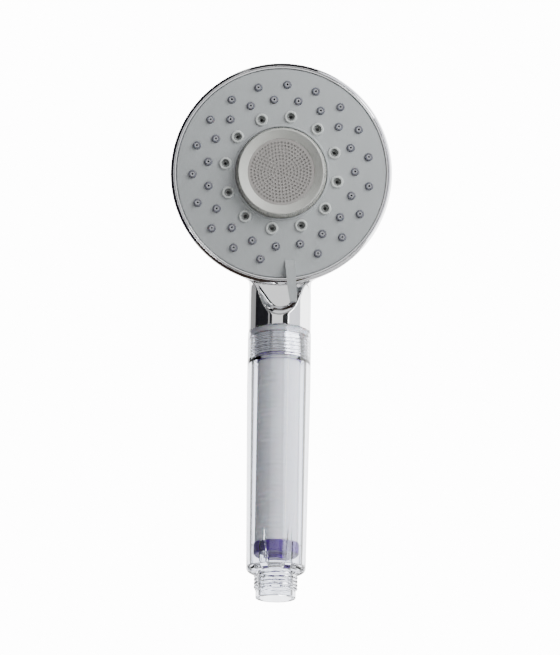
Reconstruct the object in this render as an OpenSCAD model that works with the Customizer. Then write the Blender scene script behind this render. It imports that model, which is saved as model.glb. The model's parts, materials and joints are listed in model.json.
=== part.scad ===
// Handheld filter shower head: a chrome head with a turning spray face, on a clear filter handle.
// Frame: origin at the centre of the inlet's end face, +Z up the handle, the face looks towards -Y.

/* [Inlet] */
// Length of the hose spigot below the handle
inlet_len = 12.5; // [11:0.5:16]
// Radius of the spigot between its thread crests
inlet_core_r = 9.6; // [9.2:0.1:9.9]
// Crest radius of the G1/2 hose thread
inlet_crest_r = 10.4775; // [10.3:0.0005:10.6]
// Pitch of the hose thread
inlet_pitch = 1.814; // [1.5:0.001:2]
// Crests on the hose thread
inlet_turns = 4; // [3:1:4]
// Height of the first crest above the end face
inlet_lead = 4.6; // [3:0.1:5]
// Radius of the water bore through the spigot
inlet_bore_r = 7.3; // [5:0.1:7.6]

/* [Handle] */
// Length of the clear handle above the spigot
handle_len = 119.5; // [95:0.5:150]
// Thickness of the clear wall at the handle's bottom
handle_wall = 2.3; // [2:0.1:3]
// Thickness of the clear wall round the neck's thread
handle_rim = 1.15; // [1:0.05:1.6]
// Length of the straight top of the handle
handle_straight = 27; // [22:1:40]
// Thickness of the handle's floor
handle_floor = 2.5; // [2:0.1:4]
// Height of the ledges that hold the filter up
rib_h = 5.8; // [5:0.1:10]
// Width of each guide rib
rib_w = 3; // [2:0.1:4]
// Number of guide ribs
rib_count = 6; // [3:1:8]

/* [Filter] */
// Radius of the filter's end caps
cap_r = 10.9; // [9:0.1:11.2]
// Height of an end cap
cap_h = 5.6; // [5:0.1:9]
// Thickness of an end cap's disc
cap_disc = 2.8; // [2.4:0.1:3.5]
// Thickness of an end cap's skirt
cap_skirt = 0.75; // [0.5:0.05:1.2]
// Radius of the filter's core tube
core_r = 3.6; // [3:0.1:4.5]
// Wall of the core tube
core_wall = 0.9; // [0.6:0.1:1.2]

/* [Neck] */
// How much slimmer the neck is than the handle's top
neck_step = 0.25; // [0:0.05:1]
// Length of neck between the handle and the rim
neck_len = 20; // [18:0.5:30]
// Wall of the neck's screwed stub round the filter's end
stub_wall = 1.15; // [1:0.05:1.6]
// Length of the screwed stub below the shoulder
stub_len = 12.9; // [11:0.1:14]
// Pitch of the neck's thread
neck_pitch = 1.83; // [1.5:0.01:2]
// Height of a crest above its root, on both threads
thread_h = 0.5; // [0.3:0.05:0.6]
// Crests on the neck's thread
neck_turns = 4; // [3:1:5]
// Outer radius of the water tube inside the neck
tube_r = 6.4; // [5:0.1:7.7]
// Radius of the water tube's bore
tube_bore_r = 4.2; // [3:0.1:4.6]

/* [Head] */
// Outer radius of the chrome rim
head_r = 54.1; // [53:0.1:66]
// Angle that the face looks down by
face_tilt = 15; // [12:0.5:18]
// Distance that the rim's lowest point stands ahead of the neck
rim_overhang = 2.75; // [2:0.05:5]
// Height of the straight side of the head
rim_h = 6; // [5:0.5:8]
// Depth of the domed back
dome_d = 25; // [24:0.5:30]
// Wall of the chrome shell
shell_wall = 2.2; // [2:0.1:2.6]
// Radial width of the bead round the rim
bead_w = 1.8; // [1.5:0.1:2]
// Radial width of the inner chrome ring
bezel_w = 0.8; // [0.6:0.1:1]
// Depth of the lever's recess below the rim's front
recess_d = 4.5; // [3.5:0.1:5]
// Distance from the rim to the lowest point of the recess
recess_len = 14.1; // [13:0.1:16]

/* [Spray face] */
// Height of the face's dome from edge to centre
face_rise = 2.4; // [1:0.1:3]
// Distance from the face's edge to the outer ring of nozzles
outer_ring_in = 7.85; // [7:0.05:12]
// Distance between the outer and middle rings of nozzles
middle_ring_in = 7.3; // [6:0.1:9]
// Distance between the middle ring of nozzles and the ring of jets
jet_ring_in = 8.4; // [7:0.1:9]
// Places on each ring of nozzles, of which the lever takes one
nozzle_count = 19; // [12:1:19]
// Number of jets
jet_count = 12; // [8:1:12]
// Radius of a soft nozzle
nozzle_r = 1.95; // [1.5:0.05:2.2]
// Height of a nozzle above the face
nozzle_proud = 1.1; // [0.5:0.1:2]
// Radius of a nozzle's hole
nozzle_hole_r = 0.55; // [0.3:0.05:0.7]
// Outer radius of the collar round a jet
collar_r = 2.85; // [2.4:0.05:3]
// Radius of the cup of a jet
jet_r = 1.85; // [1.4:0.05:2]
// Radius of a jet's hole
jet_hole_r = 0.7; // [0.4:0.05:0.9]

/* [Mist hub] */
// Outer radius of the knurled mist ring
hub_r = 22.2; // [18:0.1:22.4]
// Height of the mist ring's land above the rim's front
hub_top = 7.2; // [6.5:0.1:9]
// Number of teeth on the mist ring
knurl_count = 140; // [100:1:160]
// Depth of a tooth on the mist ring
knurl_d = 0.35; // [0.2:0.05:0.5]
// Radial width of the cone from the mist ring's edge to the mist plate
mist_cone = 6; // [5:0.1:7]
// Radial thickness of the mist ring round the threaded hub
mist_wall = 2.3; // [2:0.1:2.6]
// Distance between mist holes
mist_step = 1.6; // [1.4:0.1:3]
// Radius of a mist hole
mist_hole_r = 0.25; // [0.15:0.05:0.35]

/* [Selector] */
// Angle of the lever from the handle's line, at its right stop
lever_turn = 6.15; // [5:0.05:6.5]
// Distance that the lever's tip stands out past the rim
lever_reach = 9.4; // [8:0.1:10]
// Half the lever's width where it crosses the rim
lever_half_w = 2.25; // [1.8:0.05:2.4]
// Half the lever's width at its tip
lever_tip_half_w = 1.8; // [1.5:0.05:2.2]

/* [Fits] */
// Clearance between pieces that move past each other
gap = 0.3; // [0.3:0.05:0.35]
// Clearance between pieces that are fixed together
seat = 0.05; // [0.03:0.01:0.08]
// Radial clearance of a running fit
running = 0.05; // [0.03:0.01:0.08]

/* [Hidden] */
$fn = 96;
over = 1;

chrome = [0.80, 0.81, 0.83];
face_grey = [0.64, 0.66, 0.66];
hub_grey = [0.74, 0.75, 0.73];
clear_plastic = [0.86, 0.90, 0.95, 0.35];
rubber_grey = [0.35, 0.35, 0.36];
white_plastic = [0.88, 0.88, 0.86];
steel = [0.66, 0.65, 0.64];
purple = [0.22, 0.17, 0.50];

// Handle heights and radii
handle_top = inlet_len + handle_len;
floor_z = inlet_len + handle_floor;
straight_z = handle_top - handle_straight;
bore_bottom_r = cap_r + 1;
bore_top_r = cap_r + 1.4;
handle_bottom_r = bore_bottom_r + handle_wall;
socket_r = cap_r + gap;
shoulder_z = handle_top + gap;
stub_end = shoulder_z - stub_len;
stub_r = socket_r + stub_wall;
female_root_r = stub_r + 2 * thread_h + gap;
gasket_h = 2.1;
gasket_r = female_root_r + 0.4;
handle_top_r = gasket_r + gap + handle_rim;
neck_r = handle_top_r - neck_step;
gasket_seat_z = handle_top - gasket_h - gap;
thread_end = stub_end - 2.4;

// Filter heights
filter_z = floor_z + rib_h + seat;
cap_insert = 2.7;
filter_top = stub_end + cap_insert;
skirt_r = cap_r - cap_skirt;
pinched_r = skirt_r - seat;
cotton_r = skirt_r + 0.15;
cap_ring_minor = 0.85;
cap_ring_z = filter_top - cap_disc / 2;
cap_ring_r = socket_r - running - cap_ring_minor - 0.03;
outlet_r = core_r - core_wall;

// Head placing: the face's centre and its tilt follow the neck
face_z = handle_top + neck_len + head_r * cos(face_tilt);
face_y = -(neck_r + rim_overhang + head_r * sin(face_tilt));

// Levels in the head's own frame: z = 0 at the rim's front, outwards is positive
cavity_r = head_r - bead_w;
bezel_in_r = cavity_r - seat - bezel_w;
face_r = bezel_in_r - gap;
face_edge_z = -0.7;
face_back_z = -3;
mat_t = 1.15;
mat_back_z = face_back_z - seat - mat_t;
skirt_wall = 1.5;
skirt_z = -6.6;
chamber_t = 2;
chamber_back_z = skirt_z - chamber_t;
body_front_z = chamber_back_z - 0.8;
body_t = 3.2;
body_back_z = body_front_z - body_t;
post_r = 5;
post_top_z = -4.6;

// Rings on the face
outer_ring_r = face_r - outer_ring_in;
middle_ring_r = outer_ring_r - middle_ring_in;
jet_ring_r = middle_ring_r - jet_ring_in;
nozzle_step = 360 / nozzle_count;
jet_step = 360 / jet_count;

// Mist hub levels
neck_top_z = 3;
groove_z = 0.3;
ring_base_z = groove_z + gap;
hub_neck_r = hub_r - mist_wall - gap;
mist_r = hub_r - mist_cone;
mist_rings = floor((mist_r - 1.5) / mist_step);
groove_r = hub_r + 0.4;
flange_r = groove_r + 0.9;
plate_z = 3.9;
plate_t = 0.8;
ring_bore_r = hub_neck_r + gap;
lip_z = plate_z + plate_t + seat;
mist_land_r = ring_bore_r - 0.2;

// Selector: three ports, one lever step apart
mist_port_r = 19;
rain_port_r = outer_ring_r - 5.3;
seal_in_r = mist_port_r - 2.2;
seal_out_r = rain_port_r + 5;
seal_half_w = 2.4;
seal_slot_half_w = 1.1;
seal_t = 2.7;
channel_floor_z = -20;
channel_half_w = 4.5;
channel_wall = 1.9;
channel_out_r = head_r - 6.1;
detent_r = rain_port_r;
ball_r = 1.5;
ball_z = chamber_back_z - gap - ball_r;
screw_r = 1.3;
screw_circle_r = 36;
screw_len = 8;
sleeve_r = 3;

function dome_z(r) = -rim_h - dome_d * sqrt(max(0, 1 - pow(r / head_r, 2)));
function face_top(r) = face_edge_z + face_rise * (1 - pow(r / face_r, 2));
function between(a, b, n) = [for (i = [0 : n]) a + (b - a) * i / n];

// The head's own frame: +Z out of the face, +Y up the face, -Y towards the neck
module at_face() {
    translate([0, face_y, face_z]) rotate([90 + face_tilt, 0, 0]) children();
}

// The head's frame turned with the lever, which lies along -Y
module at_lever() {
    at_face() rotate([0, 0, lever_turn]) children();
}

module tube(outer, inner, bottom, top) {
    translate([0, 0, bottom]) difference() {
        cylinder(r = outer, h = top - bottom);
        translate([0, 0, -over]) cylinder(r = inner, h = top - bottom + 2 * over);
    }
}

module rod(r, bottom, top) {
    translate([0, 0, bottom]) cylinder(r = r, h = top - bottom);
}

module o_ring(major, minor, z) {
    rotate_extrude() translate([major, z]) circle(r = minor, $fn = 32);
}

// Repeats its child round a ring; the first one stands at the angle given
module round_ring(count, r, first = 0, skip = 0) {
    for (i = [skip : count - 1]) rotate([0, 0, first + i * 360 / count]) translate([0, -r, 0]) children();
}

// A plate with round ends, lying along -Y from one radius to another
module slot_bar(half_w, r_in, r_out, bottom, top) {
    translate([0, 0, bottom]) linear_extrude(top - bottom) union() {
        translate([0, -r_in]) circle(r = half_w);
        translate([0, -r_out]) circle(r = half_w);
        translate([-half_w, -r_out]) square([2 * half_w, r_out - r_in]);
    }
}

// A coil spring swept along its own helix
module coil_spring(r, wire, turns, bottom, top) {
    sides = 6;
    per_turn = 14;
    last = turns * per_turn;
    points = [for (i = [0 : last]) for (j = [0 : sides - 1])
        let (a = i * 360 / per_turn, b = j * 360 / sides, reach = r + wire * cos(b))
        [reach * cos(a), reach * sin(a), bottom + wire + (top - bottom - 2 * wire) * i / last + wire * sin(b)]];
    walls = [for (i = [0 : last - 1]) for (j = [0 : sides - 1])
        let (k = (j + 1) % sides)
        [i * sides + j, (i + 1) * sides + j, (i + 1) * sides + k, i * sides + k]];
    start = [for (j = [0 : sides - 1]) j];
    finish = [for (j = [sides - 1 : -1 : 0]) last * sides + j];
    polyhedron(points = points, faces = concat(walls, [start, finish]));
}

module clear_handle() {
    crest_half = 0.3;
    foot_half = 0.75;
    hose_thread = [for (i = [0 : inlet_turns - 1]) let (z = inlet_lead + i * inlet_pitch) each [
        [inlet_core_r, z - foot_half], [inlet_crest_r, z - crest_half],
        [inlet_crest_r, z + crest_half], [inlet_core_r, z + foot_half]]];
    outside = concat(
        [[inlet_bore_r, 0], [inlet_core_r - 0.6, 0], [inlet_core_r, 0.6]], hose_thread,
        [[inlet_core_r, inlet_len]],
        [for (a = [-90 : 15 : 0]) [handle_bottom_r - 2.2 + 2.2 * cos(a), inlet_len + 2.2 + 2.2 * sin(a)]],
        [[handle_top_r, straight_z], [handle_top_r, handle_top - gap], [handle_top_r - gap, handle_top]]);
    root_z = gasket_seat_z - 1;
    pitches = floor((root_z - thread_end) / neck_pitch);
    female_thread = [for (i = [0 : pitches - 1]) let (z = root_z - i * neck_pitch) each [
        [female_root_r, z], [female_root_r - thread_h, z - neck_pitch / 2 + 0.15],
        [female_root_r - thread_h, z - neck_pitch / 2 - 0.15]]];
    inside = concat(
        [[gasket_r + gap, handle_top], [gasket_r + gap, gasket_seat_z], [female_root_r, gasket_seat_z]],
        female_thread,
        [[female_root_r, thread_end], [bore_top_r, thread_end - 1], [bore_bottom_r, floor_z],
        [inlet_bore_r, floor_z]]);
    color(clear_plastic) union() {
        rotate_extrude() polygon(concat(outside, inside));
        for (i = [0 : rib_count - 1]) rotate([0, 0, 30 + i * 360 / rib_count]) {
            translate([-rib_w / 2, -bore_bottom_r - 0.4, floor_z - 0.4]) cube([rib_w, 3.4, rib_h + 0.4]);
            translate([-rib_w / 2, -bore_bottom_r - 0.4, floor_z - 0.4])
                cube([rib_w, bore_bottom_r + 0.4 - cap_r - gap, rib_h + 4]);
            translate([0, -cap_r - gap, floor_z + rib_h + 3.6]) rotate([90, 0, 0])
                cylinder(r = rib_w / 2, h = bore_bottom_r + 0.4 - cap_r - gap);
        }
    }
}

module pp_filter() {
    low = filter_z + cap_disc + seat;
    high = filter_top - cap_disc - seat;
    waist_low = filter_z + cap_h + 0.1;
    waist_high = filter_top - cap_h - 0.1;
    color("white") rotate_extrude() polygon([
        [core_r + seat, low], [pinched_r, low], [pinched_r, waist_low], [cotton_r, waist_low + 0.3],
        [cotton_r, waist_high - 0.3], [pinched_r, waist_high], [pinched_r, high], [core_r + seat, high]]);
}

module filter_core() {
    low = filter_z + cap_disc + seat;
    high = filter_top - cap_disc - seat;
    rows = 6;
    window = (high - low) / rows - 4;
    color(white_plastic) difference() {
        tube(core_r, outlet_r, low, high);
        for (i = [0 : rows - 1]) for (a = [0 : 120 : 240])
            rotate([0, 0, a]) translate([0, -1, low + 2 + i * (window + 4)]) cube([core_r + over, 2, window]);
    }
}

module upper_cap() {
    color(purple) rotate_extrude() difference() {
        polygon([
            [outlet_r, filter_top], [cap_r - 0.4, filter_top], [cap_r, filter_top - 0.4],
            [cap_r, filter_top - cap_h + 0.3], [cap_r - 0.3, filter_top - cap_h], [skirt_r, filter_top - cap_h],
            [skirt_r, filter_top - cap_disc], [outlet_r, filter_top - cap_disc]]);
        translate([cap_ring_r - cap_ring_minor - seat, cap_ring_z - cap_ring_minor - seat])
            square([cap_r, 2 * (cap_ring_minor + seat)]);
    }
}

module upper_cap_o_ring() {
    color(rubber_grey) o_ring(cap_ring_r, cap_ring_minor, cap_ring_z);
}

module lower_cap() {
    boss_r = 4;
    color(purple) union() {
        rotate_extrude() polygon([
            [0, filter_z], [cap_r - 0.4, filter_z], [cap_r, filter_z + 0.4], [cap_r, filter_z + cap_h - 0.3],
            [cap_r - 0.3, filter_z + cap_h], [skirt_r, filter_z + cap_h], [skirt_r, filter_z + cap_disc],
            [0, filter_z + cap_disc]]);
        rod(boss_r, filter_z - 1.6, filter_z + over);
    }
}

module neck_gasket() {
    color([0.7, 0.7, 0.7]) tube(gasket_r, stub_r + thread_h + gap / 2, gasket_seat_z + gap, handle_top);
}

module recess_cut() {
    low_y = -(head_r + recess_len);
    lip_r = neck_r / 2;
    floor_r = lip_r - 2.6;
    lip_rise = 4;
    hull() {
        translate([0, 0, lip_rise]) linear_extrude(0.1) union() {
            translate([0, low_y - 1.5 + lip_r]) circle(r = lip_r, $fn = 32);
            translate([-neck_r, -head_r + 0.5]) square([2 * neck_r, 0.1]);
        }
        translate([0, 0, -recess_d]) linear_extrude(0.1) union() {
            translate([0, low_y + 3.7 + floor_r]) circle(r = floor_r, $fn = 32);
            translate([-neck_r + 3.2, -head_r - 0.3]) square([2 * neck_r - 6.4, 0.1]);
        }
    }
}

module screw_places() {
    for (a = [45 : 90 : 315]) rotate([0, 0, a]) translate([screw_circle_r, 0, 0]) children();
}

module head_shell() {
    dome_in = dome_d - shell_wall;
    wall_in_r = head_r - shell_wall;
    turns = [0 : 7.5 : 90];
    outside = concat(
        [for (t = turns) [head_r * sin(t), -rim_h - dome_d * cos(t)]],
        [[head_r, -0.9], [head_r - 0.25, -0.3], [head_r - 0.8, 0], [cavity_r + 0.5, 0],
        [cavity_r + 0.1, -0.25], [0, -0.25]]);
    inside = concat(
        [for (t = turns) [wall_in_r * sin(t), -rim_h - dome_in * cos(t)]],
        [[cavity_r, -rim_h], [cavity_r, over], [0, over]]);
    sleeve_bottom = dome_z(screw_circle_r + sleeve_r) + 0.5;
    male_thread = [for (i = [0 : neck_turns - 1]) let (z = stub_end + 0.8 + (i + 0.5) * neck_pitch) each [
        [stub_r, z - neck_pitch / 2 + 0.1], [stub_r + thread_h - 0.1, z - 0.15],
        [stub_r + thread_h - 0.1, z + 0.15], [stub_r, z + neck_pitch / 2 - 0.1]]];
    color(chrome) difference() {
        union() {
            difference() {
                union() {
                    at_face() rotate_extrude() polygon(outside);
                    rotate_extrude() polygon(concat(
                        [[0, stub_end], [stub_r - 0.5, stub_end], [stub_r, stub_end + 0.5]], male_thread,
                        [[stub_r, shoulder_z], [neck_r, shoulder_z],
                        [neck_r, handle_top + neck_len], [0, handle_top + neck_len]]));
                    hull() {
                        translate([0, 0, handle_top + neck_len - 1]) cylinder(r = neck_r, h = 1);
                        at_face() translate([0, -14, dome_z(14) + 13.5]) sphere(r = 13, $fn = 32);
                    }
                }
                at_face() rotate_extrude() polygon(inside);
                at_face() recess_cut();
            }
            at_face() screw_places() rod(sleeve_r, sleeve_bottom, body_back_z - seat);
        }
        at_face() translate([-channel_half_w - channel_wall - gap, -channel_out_r - channel_wall - gap,
            channel_floor_z - channel_wall - gap])
            cube([2 * (channel_half_w + channel_wall + gap), channel_out_r - seal_in_r + 6,
            body_back_z - channel_floor_z + channel_wall + gap + over]);
        rod(socket_r, stub_end - over, filter_top + 1.6);
        rod(tube_r + gap, stub_end, handle_top + neck_len + 12);
        at_face() screw_places() rod(screw_r + seat, body_front_z - screw_len - 3, body_back_z + over);
    }
}

module bezel_ring() {
    outer = cavity_r - seat;
    color(chrome) at_face() rotate_extrude() polygon([
        [bezel_in_r, -5.5], [outer, -5.5], [outer, -0.65], [outer - 0.2, -0.35], [outer - 0.55, -0.3],
        [bezel_in_r, -0.7]]);
}

module water_body() {
    plate_r = (head_r - shell_wall) * sqrt(1 - pow((-rim_h - body_back_z) / (dome_d - shell_wall), 2)) - 0.5;
    pocket_half_w = seal_half_w + seat * 3;
    color(white_plastic) difference() {
        union() {
            at_face() {
                rod(plate_r, body_back_z, body_front_z);
                rod(post_r, body_back_z, post_top_z);
                translate([-channel_half_w - channel_wall, -channel_out_r - channel_wall,
                    channel_floor_z - channel_wall])
                    cube([2 * (channel_half_w + channel_wall), channel_out_r - seal_in_r + 5.5,
                    body_back_z - channel_floor_z + channel_wall + over / 2]);
                translate([0, detent_r, 0]) rod(ball_r + 1.7, body_back_z - 6, body_front_z - over);
            }
            rod(tube_r, handle_top + 2, handle_top + neck_len + 7.5);
        }
        at_face() {
            slot_bar(pocket_half_w, seal_in_r, seal_out_r, body_back_z - over, body_front_z + over);
            translate([-channel_half_w, -channel_out_r, channel_floor_z])
                cube([2 * channel_half_w, channel_out_r - seal_in_r + 3.6, body_back_z - channel_floor_z]);
            screw_places() rod(screw_r + 0.3, body_back_z - over, body_front_z + over);
            screw_places() rod(sleeve_r, body_front_z - 1.9, body_front_z + over);
            rod(screw_r + 0.1, body_back_z + 0.8, post_top_z + over);
            translate([0, detent_r, 0]) rod(ball_r + 0.1, body_back_z - 4.8, body_front_z + over);
        }
        rod(tube_bore_r, handle_top, handle_top + neck_len + 9);
        translate([0, 0, handle_top + 6]) tube(tube_r + over, tube_r - 1.15, 0, 1.5);
    }
}

module tube_o_ring() {
    color(rubber_grey) o_ring(tube_r - 0.45, 0.65, handle_top + 6.75);
}

module body_screws() {
    color(steel) at_face() screw_places() union() {
        rod(screw_r * 2, body_front_z - 1.8, body_front_z - 0.2);
        rod(screw_r, body_front_z - screw_len - 1.8, body_front_z - 1);
    }
}

module diverter_seal() {
    color(rubber_grey) at_face() difference() {
        slot_bar(seal_half_w, seal_in_r, seal_out_r, chamber_back_z - gap - seal_t, chamber_back_z - gap);
        slot_bar(seal_slot_half_w, seal_in_r, seal_out_r, chamber_back_z - 4, chamber_back_z);
    }
}

module diverter_springs() {
    wire = 0.3;
    coil_r = (seal_half_w + seal_slot_half_w) / 2;
    color(steel) at_face() for (r = [seal_in_r + 3, seal_out_r - 3]) translate([0, -r, 0])
        coil_spring(coil_r, wire, 5, channel_floor_z + seat, chamber_back_z - gap - seal_t - seat);
}

module detent_ball() {
    color(steel) at_face() translate([0, detent_r, ball_z]) sphere(r = ball_r);
}

module detent_spring() {
    color(steel) at_face() translate([0, detent_r, 0])
        coil_spring(1.1, 0.25, 5, body_back_z - 4.7, ball_z - ball_r - seat);
}

module centre_screw() {
    head_z = post_top_z + 1.1;
    color(steel) at_face() difference() {
        union() {
            rod(3.6, head_z, head_z + 2.2);
            rod(screw_r, body_back_z + 1, head_z + over);
        }
        translate([-0.4, -2.6, head_z + 1.2]) cube([0.8, 5.2, 2]);
        translate([-2.6, -0.4, head_z + 1.2]) cube([5.2, 0.8, 2]);
    }
}

module centre_washer() {
    color(steel) at_face() tube(7.4, screw_r + 0.2, post_top_z + seat, post_top_z + 1.05);
}

module face_plate() {
    hub_wall = 2.2;
    dome_start = flange_r;
    profile = concat(
        [[hub_neck_r - hub_wall, face_back_z], [hub_neck_r - hub_wall, neck_top_z], [hub_neck_r, neck_top_z],
        [hub_neck_r, groove_z], [groove_r, groove_z], [groove_r, face_top(groove_r) + 0.35],
        [dome_start - 0.2, face_top(dome_start) + 0.3]],
        [for (r = between(dome_start, face_r - 0.4, 9)) [r, face_top(r)]],
        [[face_r, face_edge_z - 0.4], [face_r, skirt_z], [face_r - skirt_wall, skirt_z],
        [face_r - skirt_wall, face_back_z]]);
    color(face_grey) at_lever() difference() {
        union() {
            rotate_extrude() polygon(profile);
            round_ring(jet_count, jet_ring_r, jet_step / 2) rod(collar_r, face_back_z + 1, face_top(jet_ring_r) + 0.6);
        }
        round_ring(jet_count, jet_ring_r, jet_step / 2) rod(jet_r + 0.1, face_back_z - over, hub_top);
        round_ring(nozzle_count, outer_ring_r, 0, 1) rod(nozzle_r + 0.1, face_back_z - over, hub_top);
        round_ring(nozzle_count, middle_ring_r, nozzle_step / 2) rod(nozzle_r + 0.1, face_back_z - over, hub_top);
        translate([-lever_half_w - seat, -face_r - over, face_edge_z - 0.6])
            cube([2 * (lever_half_w + seat), 9.4 + seat, 3]);
        translate([-1.3, -face_r + 3, face_back_z - over]) cube([2.6, 4, 3]);
    }
}

module selector_lever() {
    root = face_r - 8.4;
    tip = head_r + lever_reach;
    seat_z = face_edge_z - 0.6 + seat;
    over_rim_z = 0.2 + gap;
    underside_z = -1;
    side = [
        [root, seat_z], [root, face_top(root) + 0.3], [root + 3.6, 2.3], [head_r + 0.5, 2.6],
        [tip - 0.5, 1.9], [tip, 1.5], [tip, underside_z], [head_r + gap + 0.4, underside_z],
        [head_r + gap + 0.2, over_rim_z], [face_r - 0.3, over_rim_z], [face_r - 0.3, seat_z]];
    plan = [
        [lever_half_w, root - over], [lever_half_w, head_r], [lever_tip_half_w, tip + over],
        [-lever_tip_half_w, tip + over], [-lever_half_w, head_r], [-lever_half_w, root - over]];
    color(face_grey) at_lever() union() {
        intersection() {
            translate([-5, 0, 0]) rotate([90, 0, 90]) linear_extrude(10) polygon([for (p = side) [-p[0], p[1]]]);
            translate([0, 0, -5]) linear_extrude(12) polygon([for (p = plan) [p[0], -p[1]]]);
        }
        translate([-1.2, -face_r + 3.1, face_back_z]) cube([2.4, 3.8, 2.6]);
    }
}

module nozzle_tip(r) {
    top = face_top(r) + nozzle_proud;
    translate([0, 0, 0]) rotate_extrude() polygon([
        [nozzle_hole_r, mat_back_z], [nozzle_r, mat_back_z], [nozzle_r, top - 0.6], [nozzle_r - 0.25, top - 0.1],
        [nozzle_r - 0.45, top], [nozzle_hole_r + 0.75, top], [nozzle_hole_r + 0.65, top - 0.35],
        [nozzle_hole_r, top - 0.45]]);
}

module nozzle_mat() {
    hole_r = (nozzle_r + nozzle_hole_r) / 2;
    mat_out_r = outer_ring_r + 4;
    mat_in_r = middle_ring_r - 4.4;
    color([0.55, 0.54, 0.62]) at_lever() union() {
        difference() {
            tube(mat_out_r, mat_in_r, mat_back_z, face_back_z - seat);
            round_ring(nozzle_count, outer_ring_r, 0, 1) rod(hole_r, mat_back_z - over, face_back_z);
            round_ring(nozzle_count, middle_ring_r, nozzle_step / 2) rod(hole_r, mat_back_z - over, face_back_z);
        }
        round_ring(nozzle_count, outer_ring_r, 0, 1) nozzle_tip(outer_ring_r);
        round_ring(nozzle_count, middle_ring_r, nozzle_step / 2) nozzle_tip(middle_ring_r);
    }
}

module jet_ring() {
    top = face_top(jet_ring_r) - 0.1;
    color([0.5, 0.52, 0.52]) at_lever() union() {
        difference() {
            tube(jet_ring_r + 3, jet_ring_r - 3, mat_back_z, face_back_z - seat);
            round_ring(jet_count, jet_ring_r, jet_step / 2) rod(jet_r - 0.3, mat_back_z - over, face_back_z);
        }
        round_ring(jet_count, jet_ring_r, jet_step / 2) rotate_extrude() polygon([
            [jet_hole_r, mat_back_z], [jet_r, mat_back_z], [jet_r, top], [jet_r - 0.35, top],
            [jet_r - 0.5, top - 0.9], [jet_hole_r, top - 1.3]]);
    }
}

module chamber_plate() {
    wall = 0.6;
    jet_wall_r = jet_ring_r + 3.5;
    mist_wall_r = jet_ring_r - 3.6;
    outer_wall_r = face_r - skirt_wall - 1.25;
    wall_top = mat_back_z - seat;
    color(white_plastic) at_face() difference() {
        union() {
            rod(face_r - 0.35, chamber_back_z, skirt_z - seat);
            tube(jet_wall_r + wall, jet_wall_r - wall, skirt_z - over, wall_top);
            tube(mist_wall_r + wall, mist_wall_r - wall, skirt_z - over, wall_top);
            tube(outer_wall_r, outer_wall_r - 0.8, skirt_z - over, wall_top - 0.8);
            rod(post_r + 3, skirt_z - over, post_top_z - 0.4);
        }
        rod(post_r + running, chamber_back_z - over, 0);
        slot_bar(0.95, rain_port_r - 3, rain_port_r + 3, chamber_back_z - over, skirt_z + 0.5);
        rotate([0, 0, lever_turn]) slot_bar(0.95, jet_ring_r - 1, jet_ring_r + 1, chamber_back_z - over, skirt_z + 0.5);
        rotate([0, 0, 2 * lever_turn]) slot_bar(0.8, mist_port_r - 0.7, mist_port_r + 1, chamber_back_z - over, skirt_z + 0.5);
        for (a = [0 : lever_turn : 2 * lever_turn + 0.01]) rotate([0, 0, a])
            translate([0, detent_r, chamber_back_z - 1.1]) sphere(r = 1.6);
    }
}

module chamber_o_ring() {
    color(rubber_grey) at_lever() o_ring(face_r - skirt_wall - 0.6, 0.55, skirt_z + 0.6);
}

module mist_seal() {
    color(rubber_grey) at_lever() tube(hub_neck_r - 0.2, hub_neck_r - 1.9, neck_top_z + gap, plate_z - seat);
}

module mist_plate() {
    color(steel) at_lever() translate([0, 0, plate_z]) linear_extrude(plate_t) difference() {
        circle(r = hub_neck_r - 0.1);
        circle(r = mist_hole_r, $fn = 16);
        for (k = [1 : mist_rings]) for (i = [0 : 6 * k - 1])
            rotate([0, 0, (i + k % 2 / 2) * 60 / k]) translate([k * mist_step, 0]) circle(r = mist_hole_r, $fn = 16);
    }
}

module mist_ring() {
    knurl_top = hub_top - 0.9;
    half_step = 180 / knurl_count;
    color(hub_grey) at_lever() difference() {
        union() {
            translate([0, 0, ring_base_z]) linear_extrude(knurl_top - ring_base_z)
                polygon([for (i = [0 : 2 * knurl_count - 1])
                    let (r = hub_r - (i % 2) * knurl_d) [r * cos(i * half_step), r * sin(i * half_step)]]);
            rotate_extrude() polygon([
                [0, knurl_top - over], [hub_r - knurl_d - 0.2, knurl_top - over], [hub_r - knurl_d - 0.2, hub_top - 0.4],
                [hub_r - knurl_d - 0.6, hub_top], [0, hub_top]]);
        }
        rod(ring_bore_r, ring_base_z - over, lip_z);
        rotate_extrude() polygon([
            [0, lip_z - over], [mist_r, lip_z - over], [mist_r, lip_z + 0.3], [mist_land_r, hub_top - 0.15],
            [mist_land_r + 0.3, hub_top + 0.01], [mist_land_r + 0.3, hub_top + over], [0, hub_top + over]]);
    }
}

clear_handle();
pp_filter();
filter_core();
upper_cap();
upper_cap_o_ring();
lower_cap();
neck_gasket();
head_shell();
bezel_ring();
water_body();
tube_o_ring();
body_screws();
diverter_seal();
diverter_springs();
detent_ball();
detent_spring();
centre_screw();
centre_washer();
face_plate();
selector_lever();
nozzle_mat();
jet_ring();
chamber_plate();
chamber_o_ring();
mist_seal();
mist_plate();
mist_ring();
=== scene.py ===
"""Looks of a handheld filter shower head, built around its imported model.

Every length is in metres unless a name ends in _mm, and every piece sits in the model's own frame:
the origin at the hose inlet, +Z up the handle and the spray face towards -Y.
"""

import json
import logging
import math
from dataclasses import dataclass, field
from enum import Enum
from typing import Callable, Iterable, Sequence

import bpy
import numpy as np
from mathutils import Matrix, Vector


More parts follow.
